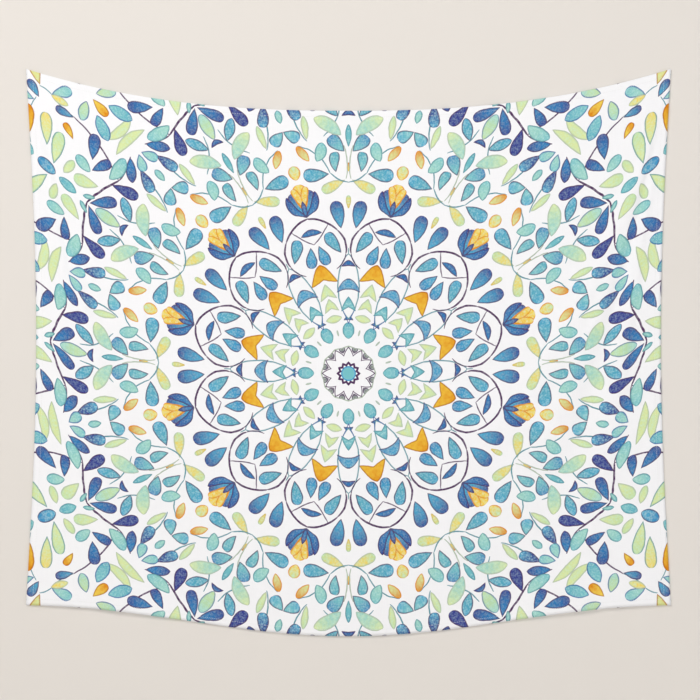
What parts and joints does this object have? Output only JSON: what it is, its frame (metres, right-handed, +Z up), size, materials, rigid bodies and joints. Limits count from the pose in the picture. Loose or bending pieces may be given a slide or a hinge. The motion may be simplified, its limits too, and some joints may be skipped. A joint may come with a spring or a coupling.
{
  "type": "wall tapestry",
  "caption": "Lightweight printed cloth wall hanging with a sewn hem, hung by eyelet tabs hidden behind its upper corners.",
  "frame": {"origin": "midway between the two hanging eyelets, on the wall plane", "axes": "-Y is the printed front, +Y points into the wall, +Z up, +X to the right as seen from the front"},
  "size_m": [1.508, 0.0048, 1.326],
  "materials": {
    "printed_cloth": "matt woven polyester with a printed pattern",
    "plain_cloth": "matt woven polyester, reverse side",
    "tape": "herringbone cotton tape",
    "thread": "spun polyester thread",
    "eyelet_metal": "satin nickel plate",
    "label_satin": "woven satin"
  },
  "bodies": {
    "hangers": {"left_tab": "tape", "right_tab": "tape", "left_eyelet": "eyelet_metal", "right_eyelet": "eyelet_metal", "left_tab_stitching": "thread", "right_tab_stitching": "thread", "left_corner": "plain_cloth", "right_corner": "plain_cloth"},
    "cloth": {"printed_panel": "printed_cloth", "top_hem": "plain_cloth", "bottom_hem": "plain_cloth", "left_hem": "plain_cloth", "right_hem": "plain_cloth", "top_hem_stitching": "thread", "bottom_hem_stitching": "thread", "left_hem_stitching": "thread", "right_hem_stitching": "thread", "care_label_stitching": "thread"},
    "label": {"care_label": "label_satin"}
  },
  "joints": [
    {"name": "cloth_swing", "type": "hinge", "parent": "hangers", "child": "cloth", "pos_m": [0, -0.0038, -0.014], "axis": [-1, 0, 0], "range_deg": [0, 75]},
    {"name": "label_flap", "type": "hinge", "parent": "cloth", "child": "label", "pos_m": [-0.7203, -0.0032, -1.027], "axis": [0, 0, 1], "range_deg": [0, 120]}
  ]
}
